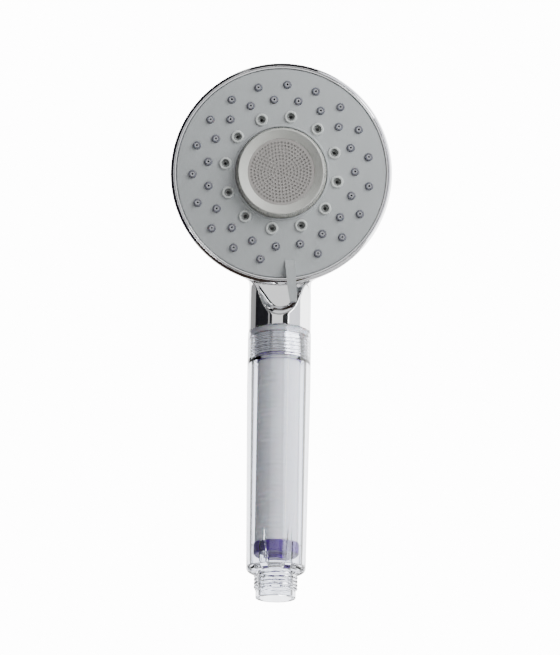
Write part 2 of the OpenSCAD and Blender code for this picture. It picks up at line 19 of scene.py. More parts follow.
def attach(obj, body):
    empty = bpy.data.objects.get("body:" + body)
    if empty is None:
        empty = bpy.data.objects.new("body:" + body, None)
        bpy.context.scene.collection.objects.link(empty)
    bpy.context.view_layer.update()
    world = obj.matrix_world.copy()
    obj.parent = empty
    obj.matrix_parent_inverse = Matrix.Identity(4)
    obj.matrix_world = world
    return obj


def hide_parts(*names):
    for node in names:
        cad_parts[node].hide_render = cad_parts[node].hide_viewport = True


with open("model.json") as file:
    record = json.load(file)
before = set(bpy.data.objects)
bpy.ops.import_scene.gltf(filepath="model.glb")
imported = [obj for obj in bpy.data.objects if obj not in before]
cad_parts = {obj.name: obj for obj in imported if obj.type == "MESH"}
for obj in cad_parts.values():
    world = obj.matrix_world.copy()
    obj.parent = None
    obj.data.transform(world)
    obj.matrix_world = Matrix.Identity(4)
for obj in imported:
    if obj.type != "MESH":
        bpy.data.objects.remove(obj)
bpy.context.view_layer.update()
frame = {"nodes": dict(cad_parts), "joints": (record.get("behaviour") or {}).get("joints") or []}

MM = 0.001
log = logging.getLogger("shower_head")

Color = tuple[float, float, float]
Profile = list[tuple[float, float]]


# ---------------------------------------------------------------- frames and sizes

@dataclass(frozen=True)
class HeadFrame:
    """Where the spray face's own frame stands: +Z out of the face, +Y up it, -Y towards the neck.

    Args:
        tilt: angle that the face looks down by, in degrees.
        lever_turn: angle of the lever from the handle's line, in degrees.
    """

    tilt: float = 15.0
    lever_turn: float = 6.15

    @property
    def centre(self) -> Vector:
        """Centre of the rim's front, read from the turning joint."""
        joint = next(j for j in frame["joints"] if j["name"] == "mode_select")
        return Vector(joint["pos_m"])

    @property
    def matrix(self) -> Matrix:
        """Matrix from millimetres in the head's frame to metres in the model's frame."""
        turn = Matrix.Rotation(math.radians(90 + self.tilt), 4, "X")
        return Matrix.Translation(self.centre) @ turn @ Matrix.Scale(MM, 4)

    @property
    def turned(self) -> Matrix:
        """The same, turned so that the lever lies along -Y."""
        return self.matrix @ Matrix.Rotation(math.radians(self.lever_turn), 4, "Z")


HEAD = HeadFrame()
HANDLE_FRAME = Matrix.Scale(MM, 4)
MIDDLE = (0.0, -0.03, 0.25)
NECK_PITCH = 1.83
HOSE_PITCH = 1.814
THREAD_ROW = 0.14


# ---------------------------------------------------------------- shader building

class Shader:
    """A procedural material around one Principled shader.

    Args:
        name: the material's name.
        sockets: values set straight on the shader's own sockets.
    """

    def __init__(self, name: str, **sockets: object) -> None:
        """Makes the material and sets the shader's constant sockets."""
        self.material = bpy.data.materials.new(name)
        self.material.use_nodes = True
        self.tree = self.material.node_tree
        self.bsdf = self.tree.nodes["Principled BSDF"]
        for key, value in sockets.items():
            self.bsdf.inputs[key.replace("_", " ")].default_value = value
        self.position = self.add("ShaderNodeTexCoord").outputs["Object"]

    def add(self, kind: str, **settings: object) -> bpy.types.Node:
        """Adds a node and sets its properties, or its sockets by name.

        Args:
            kind: the node's type name.
            settings: properties or input values of the node.

        Returns:
            The new node.
        """
        node = self.tree.nodes.new(kind)
        for key, value in settings.items():
            if hasattr(node, key):
                setattr(node, key, value)
            else:
                node.inputs[key.replace("_", " ")].default_value = value
        return node

    def link(self, output: bpy.types.NodeSocket, socket: bpy.types.NodeSocket) -> None:
        """Links an output to an input."""
        self.tree.links.new(output, socket)

    def noise(self, scale: float, detail: float = 4.0, rough: float = 0.6) -> bpy.types.NodeSocket:
        """Adds a noise in the piece's own space, scale counted per metre, and returns its value."""
        node = self.add("ShaderNodeTexNoise", Scale=scale, Detail=detail, Roughness=rough)
        self.link(self.position, node.inputs["Vector"])
        return node.outputs["Fac"]

    def ramp(self, factor: bpy.types.NodeSocket, stops: Sequence[tuple[float, Color]]
             ) -> bpy.types.NodeSocket:
        """Maps a value through colour stops.

        Args:
            factor: the value.
            stops: pairs of place and colour.

        Returns:
            The colour.
        """
        node = self.add("ShaderNodeValToRGB")
        elements = node.color_ramp.elements
        while len(elements) < len(stops):
            elements.new(0.5)
        for element, (place, colour) in zip(elements, stops):
            element.position = place
            element.color = (*colour[:3], 1.0)
        self.link(factor, node.inputs["Fac"])
        return node.outputs["Color"]

    def span(self, factor: bpy.types.NodeSocket, low: float, high: float) -> bpy.types.NodeSocket:
        """Maps a value from 0..1 to low..high."""
        node = self.add("ShaderNodeMapRange", To_Min=low, To_Max=high)
        self.link(factor, node.inputs["Value"])
        return node.outputs["Result"]

    def tint(self, colour: Color, factor: bpy.types.NodeSocket, spread: float) -> None:
        """Varies the base colour by a share each way along a value."""
        low = tuple(c * (1 - spread) for c in colour)
        high = tuple(min(1.0, c * (1 + spread)) for c in colour)
        self.link(self.ramp(factor, [(0.3, low), (0.7, high)]), self.bsdf.inputs["Base Color"])

    def roughen(self, factor: bpy.types.NodeSocket, low: float, high: float) -> None:
        """Varies the roughness along a value."""
        self.link(self.span(factor, low, high), self.bsdf.inputs["Roughness"])

    def bump(self, height: bpy.types.NodeSocket, distance: float, strength: float = 1.0) -> None:
        """Adds a bump of the given height in metres, on top of any bump so far."""
        node = self.add("ShaderNodeBump", Distance=distance, Strength=strength)
        self.link(height, node.inputs["Height"])
        normal = self.bsdf.inputs["Normal"]
        if normal.is_linked:
            self.link(normal.links[0].from_socket, node.inputs["Normal"])
        self.link(node.outputs["Normal"], normal)


@dataclass(frozen=True)
class ChromePlate:
    """Bright chrome plate on moulded plastic, with faint water spots and handling haze."""

    name: str = "chrome_plate"
    colour: Color = (0.86, 0.865, 0.88)

    def material(self) -> bpy.types.Material:
        """Builds the material."""
        shader = Shader(self.name, Metallic=1.0)
        haze = shader.noise(90.0, 5.0)
        shader.tint(self.colour, haze, 0.015)
        shader.roughen(haze, 0.025, 0.07)
        shader.bump(shader.noise(220.0, 3.0), 0.00001, 0.25)
        return shader.material


@dataclass(frozen=True)
class SatinPlastic:
    """Moulded plastic with a fine spark-eroded grain.

    Args:
        name: the material's name.
        colour: the base colour.
        rough: the middle roughness.
        grain: height of the grain in metres.
        blotch: share by which the colour varies.
    """

    name: str
    colour: Color
    rough: float = 0.42
    grain: float = 0.00002
    blotch: float = 0.025

    def material(self) -> bpy.types.Material:
        """Builds the material."""
        shader = Shader(self.name, Specular_IOR_Level=0.45)
        shader.tint(self.colour, shader.noise(35.0, 6.0), self.blotch)
        shader.roughen(shader.noise(120.0, 4.0), self.rough - 0.06, self.rough + 0.06)
        shader.bump(shader.noise(4500.0, 2.0), self.grain, 0.4)
        shader.bump(shader.noise(60.0, 2.0), self.grain * 3, 0.2)
        return shader.material


@dataclass(frozen=True)
class ClearPlastic:
    """Polished clear polycarbonate with a breath of blue and faint flow lines.

    Args:
        name: the material's name.
        colour: the transmission colour.
        low: the lowest roughness.
        high: the highest roughness.
    """

    name: str = "clear_polycarbonate"
    colour: Color = (0.78, 0.797, 0.85)
    low: float = 0.0
    high: float = 0.07

    def material(self) -> bpy.types.Material:
        """Builds the material."""
        shader = Shader(self.name, Transmission_Weight=1.0, IOR=1.5)
        flow = shader.noise(25.0, 3.0)
        shader.tint(self.colour, flow, 0.01)
        shader.roughen(shader.noise(140.0, 4.0), self.low, self.high)
        shader.bump(flow, 0.00004, 0.15)
        return shader.material


@dataclass(frozen=True)
class WoundCotton:
    """White melt-blown cotton, fuzzy and faintly wound round its core."""

    name: str = "wound_cotton"
    colour: Color = (0.90, 0.895, 0.885)

    def material(self) -> bpy.types.Material:
        """Builds the material."""
        shader = Shader(self.name, Sheen_Weight=0.25, Subsurface_Weight=0.15, Subsurface_Scale=0.002)
        wrap = shader.add("ShaderNodeMapping", Scale=(1.0, 1.0, 5.0))
        shader.link(shader.position, wrap.inputs["Vector"])
        winding = shader.add("ShaderNodeTexNoise", Scale=260.0, Detail=5.0, Roughness=0.65)
        shader.link(wrap.outputs["Vector"], winding.inputs["Vector"])
        shader.tint(self.colour, winding.outputs["Fac"], 0.035)
        shader.roughen(winding.outputs["Fac"], 0.85, 0.98)
        shader.bump(winding.outputs["Fac"], 0.00022, 0.55)
        shader.bump(shader.noise(2600.0, 3.0), 0.00008, 0.5)
        return shader.material


@dataclass(frozen=True)
class SoftRubber:
    """Silicone or rubber, satin, with a faint bloom.

    Args:
        name: the material's name.
        colour: the base colour.
        depth: share of light that passes into the surface.
    """

    name: str
    colour: Color
    depth: float = 0.0

    def material(self) -> bpy.types.Material:
        """Builds the material."""
        shader = Shader(self.name, Subsurface_Weight=self.depth, Subsurface_Scale=0.001,
                        Specular_IOR_Level=0.4)
        bloom = shader.noise(300.0, 5.0)
        shader.tint(self.colour, bloom, 0.06)
        shader.roughen(bloom, 0.45, 0.62)
        shader.bump(shader.noise(3000.0, 2.0), 0.000015, 0.4)
        return shader.material


@dataclass(frozen=True)
class BrushedSteel:
    """Fine stainless steel, rolled and lightly brushed.

    Args:
        name: the material's name.
        colour: the base colour.
        rough: the middle roughness.
    """

    name: str = "brushed_steel"
    colour: Color = (0.62, 0.60, 0.585)
    rough: float = 0.38

    def material(self) -> bpy.types.Material:
        """Builds the material."""
        shader = Shader(self.name, Metallic=1.0)
        stretch = shader.add("ShaderNodeMapping", Scale=(1.0, 14.0, 14.0))
        shader.link(shader.position, stretch.inputs["Vector"])
        brush = shader.add("ShaderNodeTexNoise", Scale=700.0, Detail=4.0, Roughness=0.6)
        shader.link(stretch.outputs["Vector"], brush.inputs["Vector"])
        shader.tint(self.colour, shader.noise(80.0, 4.0), 0.04)
        shader.roughen(brush.outputs["Fac"], self.rough - 0.08, self.rough + 0.08)
        shader.bump(brush.outputs["Fac"], 0.00001, 0.3)
        return shader.material


class Finish(Enum):
    """The finishes that the pieces come in."""

    CHROME = ChromePlate()
    FACE = SatinPlastic("face_plastic", (0.40, 0.425, 0.435), 0.40)
    # The jet ring's darker grey is partly its own plastic and partly painted shade in the recessed cups.
    JET = SatinPlastic("jet_plastic_and_painted_shade", (0.25, 0.265, 0.26), 0.5)
    # The collars' finish is the face's grey made lighter: a painted highlight on the raised jet collars.
    COLLAR = SatinPlastic("collar_painted_highlight", (0.56, 0.59, 0.58), 0.35)
    HUB = SatinPlastic("hub_plastic", (0.51, 0.52, 0.49), 0.38)
    INNER = SatinPlastic("inner_plastic", (0.78, 0.78, 0.75), 0.5)
    CAP = SatinPlastic("cap_plastic", (0.085, 0.022, 0.26), 0.3, blotch=0.08)
    CLEAR = ClearPlastic()
    COTTON = WoundCotton()
    SILICONE = SoftRubber("nozzle_silicone", (0.14, 0.145, 0.175), 0.05)
    DISC = SoftRubber("disc_silicone", (0.40, 0.41, 0.44))
    SEAL = SoftRubber("seal_rubber", (0.06, 0.06, 0.062))
    FROST = SoftRubber("frosted_silicone", (0.62, 0.62, 0.63), 0.25)
    STEEL = BrushedSteel()
    MIST = BrushedSteel("mist_steel", (0.40, 0.385, 0.37), 0.5)

    @property
    def material(self) -> bpy.types.Material:
        """The finish's material, built once."""
        found = bpy.data.materials.get(self.value.name)
        return found or self.value.material()


def dress(piece: bpy.types.Object, finish: Finish) -> None:
    """Gives a piece one finish all over."""
    piece.data.materials.clear()
    piece.data.materials.append(finish.material)


def new_piece(name: str, verts: Sequence, faces: Sequence, place: Matrix, smooth: bool = True,
              crease: float | None = 35.0) -> bpy.types.Object:
    """Makes a mesh object whose points are already in the model's frame.

    Args:
        name: the piece's name.
        verts: points in the frame that place maps from.
        faces: lists of point numbers.
        place: matrix to metres in the model's frame.
        smooth: whether the faces are shaded smooth.
        crease: angle in degrees past which an edge stays sharp, or None.

    Returns:
        The new object, linked to the scene.
    """
    mesh = bpy.data.meshes.new(name)
    mesh.from_pydata([tuple(v) for v in verts], [], [tuple(f) for f in faces])
    mesh.transform(place)
    if smooth:
        mesh.polygons.foreach_set("use_smooth", [True] * len(mesh.polygons))
        if crease is not None:
            mesh.set_sharp_from_angle(angle=math.radians(crease))
    mesh.validate()
    piece = bpy.data.objects.new(name, mesh)
    bpy.context.scene.collection.objects.link(piece)
    log.info("%s: %d points", name, len(mesh.vertices))
    return piece


def lathe(profile: Profile, segments: int = 192, radius: Callable[[float, float, float], float] | None = None
          ) -> tuple[list, list]:
    """Turns a closed outline round Z.

    Args:
        profile: (radius, height) points of the closed outline, in order.
        segments: steps round the axis.
        radius: optional change of radius from (radius, height, angle).

    Returns:
        Points and faces. Points on the axis are shared.
    """
    verts: list = []
    rows: list[list[int]] = []
    for r, z in profile:
        if r < 1e-6:
            verts.append((0.0, 0.0, z))
            rows.append([len(verts) - 1] * segments)
            continue
        row = []
        for i in range(segments):
            a = 2 * math.pi * i / segments
            reach = radius(r, z, a) if radius else r
            verts.append((reach * math.cos(a), reach * math.sin(a), z))
            row.append(len(verts) - 1)
        rows.append(row)
    faces = []
    for k, row in enumerate(rows):
        after = rows[(k + 1) % len(rows)]
        for i in range(segments):
            j = (i + 1) % segments
            quad = [row[i], row[j], after[j], after[i]]
            corner = [p for n, p in enumerate(quad) if p != quad[n - 1]]
            if len(corner) >= 3:
                faces.append(corner)
    return verts, faces


def arc(centre: tuple[float, float], r: float, start: float, end: float, steps: int = 6) -> Profile:
    """Points of an arc in an outline, angles in degrees."""
    turns = [math.radians(start + (end - start) * i / steps) for i in range(steps + 1)]
    return [(centre[0] + r * math.cos(a), centre[1] + r * math.sin(a)) for a in turns]


# ---------------------------------------------------------------- smooth solids from distances

class Solid:
    """A smooth solid given by a distance function, and its surface as a mesh.

    Args:
        distance: distance of points, negative inside; takes and returns arrays.
        low: lowest corner of the region searched.
        high: highest corner.
        step: size of a search cell.
    """

    def __init__(self, distance: Callable[[np.ndarray], np.ndarray], low: Sequence[float],
                 high: Sequence[float], step: float) -> None:
        """Keeps the function and the region."""
        self.distance = distance
        self.low = np.array(low, float)
        self.counts = np.ceil((np.array(high, float) - self.low) / step).astype(int) + 1
        self.step = step

    def gradient(self, points: np.ndarray) -> np.ndarray:
        """Slope of the distance at each point."""
        reach = self.step * 0.02
        slopes = []
        for axis in range(3):
            shift = np.zeros(3)
            shift[axis] = reach
            slopes.append((self.distance(points + shift) - self.distance(points - shift)) / (2 * reach))
        return np.stack(slopes, -1)

    def settle(self, points: np.ndarray, rounds: int = 4) -> np.ndarray:
        """Moves points onto the surface along the slope."""
        for _ in range(rounds):
            slope = self.gradient(points)
            size = np.maximum((slope ** 2).sum(-1), 0.05)
            move = slope * (self.distance(points) / size)[:, None]
            length = np.linalg.norm(move, axis=-1, keepdims=True)
            points = points - move * np.minimum(1.0, 0.4 * self.step / np.maximum(length, 1e-9))
        return points

    def surface(self) -> tuple[np.ndarray, np.ndarray]:
        """Finds the surface.

        Returns:
            Points settled on the surface, and quads wound outwards.
        """
        axes = [self.low[i] + self.step * np.arange(self.counts[i]) for i in range(3)]
        grid = np.stack(np.meshgrid(*axes, indexing="ij"), -1)
        values = np.concatenate([self.distance(slab.reshape(-1, 3)) for slab in grid]).reshape(self.counts)
        inside = values < 0
        corners = [(i, j, k) for i in (0, 1) for j in (0, 1) for k in (0, 1)]
        cells = tuple(self.counts - 1)
        total = np.zeros((*cells, 3))
        crossings = np.zeros(cells)
        for a in corners:
            for axis in range(3):
                if a[axis]:
                    continue
                b = tuple(c + (n == axis) for n, c in enumerate(a))
                cut_a = tuple(slice(c, c + n) for c, n in zip(a, cells))
                cut_b = tuple(slice(c, c + n) for c, n in zip(b, cells))
                va, vb = values[cut_a], values[cut_b]
                change = inside[cut_a] != inside[cut_b]
                share = np.where(change, va / np.where(change, va - vb, 1.0), 0.0)
                point = np.array(a, float) + np.zeros((*cells, 3))
                point[..., axis] += share
                total += np.where(change[..., None], point, 0.0)
                crossings += change
        used = crossings > 0
        number = -np.ones(cells, int)
        number[used] = np.arange(used.sum())
        place = np.argwhere(used) + total[used] / crossings[used][:, None]
        points = self.settle(self.low + place * self.step)
        quads = []
        for axis in range(3):
            one, two = (axis + 1) % 3, (axis + 2) % 3
            first = [slice(1, n - 1) for n in self.counts]
            first[axis] = slice(0, self.counts[axis] - 1)
            second = list(first)
            second[axis] = slice(1, self.counts[axis])
            here, there = inside[tuple(first)], inside[tuple(second)]
            base = np.argwhere(here != there)
            base += np.array([s.start for s in first])
            outward = here[here != there]
            ring = []
            for du, dv in ((0, 0), (-1, 0), (-1, -1), (0, -1)):
                cell = base.copy()
                cell[:, one] += du
                cell[:, two] += dv
                ring.append(number[tuple(cell.T)])
            quad = np.stack(ring, -1)
            quads.append(np.where(outward[:, None], quad, quad[:, ::-1]))
        return points, np.concatenate(quads)


def soft_min(a: np.ndarray, b: np.ndarray, k: float) -> np.ndarray:
    """Joins two distances with a fillet about k wide."""
    h = np.maximum(k - np.abs(a - b), 0.0) / k
    return np.minimum(a, b) - h * h * h * k / 6.0


def soft_max(a: np.ndarray, b: np.ndarray, k: float) -> np.ndarray:
    """Keeps what is inside both distances, with an edge rounded over about k."""
    return -soft_min(-a, -b, k)


def capsule(points: np.ndarray, a: np.ndarray, b: np.ndarray, ra: float, rb: float) -> np.ndarray:
    """Distance to a rod with round ends whose radius goes from ra at a to rb at b."""
    along = b - a
    share = np.clip((points - a) @ along / (along @ along), 0.0, 1.0)
    return np.linalg.norm(points - a - share[:, None] * along, axis=-1) - (ra + (rb - ra) * share)


def oval_distance(points: np.ndarray, r: float, depth: float, edge_z: float) -> np.ndarray:
    """Distance to a half-oval of revolution below edge_z that goes on upwards as a cylinder.

    Args:
        points: points in the head's frame, in millimetres.
        r: the radius.
        depth: depth of the oval below edge_z.
        edge_z: height where the oval meets the cylinder.

    Returns:
        One distance for each point.
    """
    across = np.hypot(points[:, 0], points[:, 1])
    down = np.minimum(points[:, 2] - edge_z, 0.0)
    first = np.hypot(across / r, down / depth)
    second = np.hypot(across / r ** 2, down / depth ** 2)
    return first * (first - 1.0) / np.maximum(second, 1e-9)


# ---------------------------------------------------------------- the head

@dataclass
class ChromeHead:
    """The chrome shell: a domed head that flows into the neck, with a recess for the lever.

    Args:
        rim_r: radius of the rim in millimetres, as are the sizes below.
        rim_h: height of the straight side.
        dome_d: depth of the dome.
        wall: thickness of the shell.
        bead_w: radial width of the bead round the rim.
        neck_r: radius of the neck.
        shoulder_z: height of the neck's shoulder above the inlet.
        neck_top_z: height where the neck turns into the dome.
        fillet: width of the fillet between the neck and the dome.
        tube_r: radius of the bore for the inlet tube.
        trim_in: inner radius of the thin ring inside the rim.
        trim_out: its outer radius.
        step: search step of the surface.
        pieces: the shell, the bead and the stub, once built.
        trim: the thin ring inside the rim, once built.
    """

    rim_r: float = 54.1
    rim_h: float = 6.0
    dome_d: float = 25.0
    wall: float = 2.2
    bead_w: float = 1.8
    neck_r: float = 15.25
    shoulder_z: float = 132.3
    neck_top_z: float = 152.0
    fillet: float = 10.0
    tube_r: float = 6.7
    trim_in: float = 51.4
    trim_out: float = 52.2
    step: float = 0.7
    pieces: list = field(default_factory=list)
    trim: bpy.types.Object | None = None

    def local(self, z: float) -> np.ndarray:
        """Point on the handle's axis at a height, in the head's frame."""
        return np.array(HEAD.matrix.inverted() @ Vector((0.0, 0.0, z * MM)))

    def recess(self, points: np.ndarray) -> np.ndarray:
        """Distance to the thumb recess that the lever's tip moves over."""
        foot_y, foot_r, spread = -56.6, 11.8, math.radians(36.0)
        draft, floor_z = 0.42, -7.0
        x, y, z = np.abs(points[:, 0]), points[:, 1] - foot_y, points[:, 2]
        flank = x * math.cos(spread) - y * math.sin(spread)
        outline = np.where(x * math.sin(spread) + y * math.cos(spread) > 0, flank, np.hypot(x, y))
        side = (outline - foot_r - draft * z) / math.hypot(1.0, draft)
        hollow = soft_max(side, floor_z - z, 3.5)
        return np.maximum(hollow, self.rim_r + 0.2 - np.hypot(points[:, 0], points[:, 1]))

    def shell(self, points: np.ndarray) -> np.ndarray:
        """Distance to the whole shell without its bead."""
        foot, top = self.local(self.shoulder_z - 30.0), self.local(self.neck_top_z)
        dome_end, dome_end_r = np.array([0.0, -14.0, -17.2]), 13.0
        rim_plane_z, lip_y, lip_slope = -2.3, 56.0, 0.6
        up = (top - foot) / np.linalg.norm(top - foot)
        x, y, z = points.T
        across = np.hypot(x, y)
        dome = oval_distance(points, self.rim_r - 0.04, self.dome_d - 0.04, -self.rim_h)
        neck = np.minimum(capsule(points, foot, top, self.neck_r, self.neck_r),
                          capsule(points, top, dome_end, self.neck_r, dome_end_r))
        body = soft_min(dome, neck, self.fillet)
        rim_plane = z - rim_plane_z - lip_slope * np.maximum(-y - lip_y, 0.0)
        body = soft_max(body, rim_plane, 0.5)
        body = soft_max(body, self.recess(points) * -1.0, 0.9)
        body = soft_max(body, (self.local(self.shoulder_z) - points) @ up, 0.5)
        inner_r = np.where(z > -self.rim_h, self.rim_r - self.bead_w, self.rim_r - self.wall)
        cavity = np.where(z > -self.rim_h, across - inner_r,
                          oval_distance(points, self.rim_r - self.wall, self.dome_d - self.wall, -self.rim_h))
        bore = capsule(points, foot, self.local(self.neck_top_z + 12.0), self.tube_r, self.tube_r)
        box_y, box_half_y, box_floor_z = -31.6, 18.6, -22.2
        box = np.maximum(np.maximum(np.abs(x) - self.tube_r, np.abs(y - box_y) - box_half_y), box_floor_z - z)
        return soft_max(body, -np.minimum(np.minimum(cavity, bore), box), 0.4)

    def build(self) -> None:
        """Makes the shell, the bead, the thin ring inside it and the screwed stub."""
        solid = Solid(self.shell, (-56.0, -84.0, -34.0), (56.0, 56.0, 5.0), self.step)
        points, quads = solid.surface()
        shell = new_piece("chrome_shell", points, quads, HEAD.matrix, crease=None)
        slope = solid.gradient(points)
        slope /= np.maximum(np.linalg.norm(slope, axis=-1, keepdims=True), 1e-9)
        turn = np.array(HEAD.matrix.to_3x3().normalized())
        shell.data.normals_split_custom_set_from_vertices((slope @ turn.T).tolist())
        outer, inner = self.rim_r - 0.01, self.rim_r - self.bead_w
        bead = [(inner, -3.0), (outer - 0.3, -3.0), (outer, -2.6), (outer, -2.0), (outer - 0.02, -1.85),
                *arc((outer - 4.808, -5.444), 6.0, 38, 56, 10), *arc((inner + 0.2, -0.68), 0.2, 60, 180, 5)]
        rim = new_piece("rim_bead", *lathe(bead, 320), HEAD.matrix, crease=50.0)
        low, high = self.trim_in, self.trim_out
        trim = [(low, -5.5), (high, -5.5), (high, -0.75), *arc((high - 0.3, -0.75), 0.3, 0, 100, 6),
                *arc((low + 0.2, -0.62), 0.2, 100, 180, 4)]
        self.trim = new_piece("bezel_trim", *lathe(trim, 320), HEAD.matrix, crease=50.0)
        self.pieces = [shell, rim, self.stub()]

    def stub(self) -> bpy.types.Object:
        """Makes the screwed stub that goes down into the handle."""
        low, high, root, bore = 119.4, self.shoulder_z + 3.0, 12.35, 11.2
        floor_z, crest_h = 128.2, 0.4
        count = round((self.shoulder_z - low - 0.6) / THREAD_ROW) + 1
        rows = [low + 0.6 + THREAD_ROW * i for i in range(count)]
        outline = [(bore, low), (root - 0.5, low), *[(root, z) for z in rows], (root, high),
                   (self.tube_r, high), (self.tube_r, floor_z), (bore, floor_z - 0.4)]

        def crest(r: float, z: float, a: float) -> float:
            """Adds the thread to the stub's outside."""
            if r < root - 1e-6:
                return r
            return r + crest_h * thread_height(z, a, NECK_PITCH, low + 1.0, floor_z - 0.6)

        return new_piece("neck_stub", *lathe(outline, 160, crest), HANDLE_FRAME, crease=45.0)

    def dress(self) -> None:
        """Chromes the pieces and joins them to the head."""
        for piece in self.pieces:
            dress(piece, Finish.CHROME)
            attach(piece, "head")
            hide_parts("head_shell")
        dress(self.trim, Finish.CHROME)
        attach(self.trim, "head")
        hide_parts("bezel_ring")


def thread_height(z: float, a: float, pitch: float, start: float, end: float) -> float:
    """Height of a right-hand thread at a place, from 0 in its root to 1 on its crest.

    Args:
        z: height along the axis in millimetres.
        a: angle round the axis.
        pitch: the thread's pitch.
        start: height where the thread starts.
        end: height where it ends.

    Returns:
        The height, faded out over half a pitch at both ends.
    """
    turn = ((z - start) / pitch - a / (2 * math.pi)) % 1.0
    ridge = min(1.0, max(0.0, (0.36 - abs(turn - 0.5)) / 0.2))
    fade = min(1.0, max(0.0, (z - start) / (0.5 * pitch))) * min(1.0, max(0.0, (end - z) / (0.5 * pitch)))
    return ridge * ridge * (3 - 2 * ridge) * fade


# ---------------------------------------------------------------- the handle

@dataclass
class FilterHandle:
    """The clear handle with the filter cartridge in it.

    Args:
        length: height of the handle's top in millimetres, as are the sizes below.
        spigot_h: length of the hose spigot.
        bottom_r: outer radius at the bottom.
        top_r: outer radius at the top.
        spigot_r: radius at the root of the hose thread.
        socket_r: radius at the root of the neck's inside thread.
        pieces: the clear wall and the cotton, once built.
    """

    length: float = 132.0
    spigot_h: float = 12.5
    bottom_r: float = 14.2
    top_r: float = 15.49
    spigot_r: float = 9.6
    socket_r: float = 13.65
    pieces: list = field(default_factory=list)

    def outline(self) -> Profile:
        """The clear wall's closed outline, outside first."""
        floor_z, straight_z, bore, foot = self.spigot_h + 2.5, self.length - 27.0, 7.3, 2.2
        count = round((self.spigot_h - 1.4) / THREAD_ROW)
        spigot = [(self.spigot_r, 0.6 + THREAD_ROW * i) for i in range(count)]
        climb = [(self.bottom_r + (self.top_r - self.bottom_r) * i / 12,
                  self.spigot_h + foot + (straight_z - self.spigot_h - foot) * i / 12) for i in range(1, 13)]
        female_top, female_end = 128.9, 117.2
        count = round((female_top - female_end) / THREAD_ROW)
        threads = [(self.socket_r, female_top - THREAD_ROW * i) for i in range(count)]
        bore_up = [(12.3 - 0.4 * i / 10, 116.0 - (116.0 - floor_z - 0.8) * i / 10) for i in range(11)]
        return [(bore, 0.3), *arc((bore + 0.3, 0.3), 0.3, 180, 270, 3), *arc((9.1, 0.5), 0.5, -90, 0, 4),
                *spigot, (self.spigot_r, self.spigot_h),
                *arc((self.bottom_r - foot, self.spigot_h + foot), foot, -90, 0, 8), *climb,
                (self.top_r, self.length - 0.4), *arc((self.top_r - 0.4, self.length - 0.4), 0.4, 0, 90, 4),
                (14.35, self.length), (14.35, 129.6), (self.socket_r, 129.6), *threads, *bore_up,
                *arc((11.1, floor_z + 0.8), 0.8, 0, -90, 4), (bore, floor_z)]

    def build(self) -> None:
        """Makes the clear wall with its ribs, and the cotton."""
        def screw(r: float, z: float, a: float) -> float:
            """Raises the hose thread outside and the neck's thread inside."""
            if abs(r - self.spigot_r) < 1e-6 and z < self.spigot_h:
                return r + 0.8775 * thread_height(z, a, HOSE_PITCH, 3.7, 11.9)
            if abs(r - self.socket_r) < 1e-6 and z < 129.2:
                return r - 0.5 * thread_height(z, a, NECK_PITCH, 117.4, 128.8)
            return r

        wall = new_piece("clear_wall", *lathe(self.outline(), 224, screw), Matrix.Identity(4))
        ribs = [rib for i in range(6) for rib in self.rib(30 + 60 * i)]
        for rib in ribs:
            join = wall.modifiers.new("rib", "BOOLEAN")
            join.object, join.operation, join.solver = rib, "UNION", "FAST"
        bpy.context.view_layer.update()
        ready = wall.evaluated_get(bpy.context.evaluated_depsgraph_get())
        mesh = bpy.data.meshes.new_from_object(ready)
        mesh.transform(HANDLE_FRAME)
        mesh.polygons.foreach_set("use_smooth", [True] * len(mesh.polygons))
        mesh.set_sharp_from_angle(angle=math.radians(32.0))
        wall.modifiers.clear()
        wall.data = mesh
        for rib in ribs:
            bpy.data.objects.remove(rib)
        self.pieces = [wall, self.cotton()]

    def rib(self, angle: float) -> list[bpy.types.Object]:
        """Makes one guide rib in millimetres: a round-topped fin, and the ledge that holds the filter up."""
        half, out_r, in_r, fin_r, low, ledge_z, fin_z = 1.5, 12.3, 9.0, 11.2, 14.6, 20.8, 24.8
        fin = [(-half, low), (half, low), (half, fin_z), *arc((0.0, fin_z), half, 0, 180, 10)[1:]]
        ledge = [(-half + 0.01, low), (half - 0.01, low), (half - 0.01, ledge_z), (-half + 0.01, ledge_z)]
        turn = Matrix.Rotation(math.radians(angle), 4, "Z")
        return [new_piece("rib", *prism(fin, -out_r, -fin_r), turn, smooth=False),
                new_piece("rib", *prism(ledge, -fin_r - 0.2, -in_r), turn, smooth=False)]

    def cotton(self) -> bpy.types.Object:
        """Makes the cotton between the caps, bulging a little where the caps pinch it."""
        low, high, core, pinch, full = 23.75, 119.2, 3.65, 10.05, 10.45
        rows = [low + (high - low) * i / 300 for i in range(301)]

        def swell(z: float) -> float:
            """Radius of the cotton at a height."""
            inside = min(z - 26.6, 116.3 - z)
            return pinch + (full - pinch) * max(0.0, min(1.0, inside / 0.5))

        def fuzz(r: float, z: float, a: float) -> float:
            """Adds the wound ridges and the fuzz."""
            if r < 5 or not 26.9 < z < 116.0:
                return r
            wound = 0.05 * math.sin(2 * math.pi * z / 2.6 + a) + 0.03 * math.sin(2 * math.pi * z / 2.2 - a)
            return r + wound + 0.03 * math.sin(13 * a + z * 1.7) * math.sin(z * 3.1 + 5 * a)

        outline = [(core, low), *[(swell(z), z) for z in rows], (core, high)]
        return new_piece("cotton_wound", *lathe(outline, 180, fuzz), HANDLE_FRAME, crease=60.0)

    def dress(self) -> None:
        """Finishes the pieces and joins them to the handle."""
        wall, cotton = self.pieces
        dress(wall, Finish.CLEAR)
        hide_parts("clear_handle")
        dress(cotton, Finish.COTTON)
        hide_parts("pp_filter")
        for piece in self.pieces:
            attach(piece, "handle")


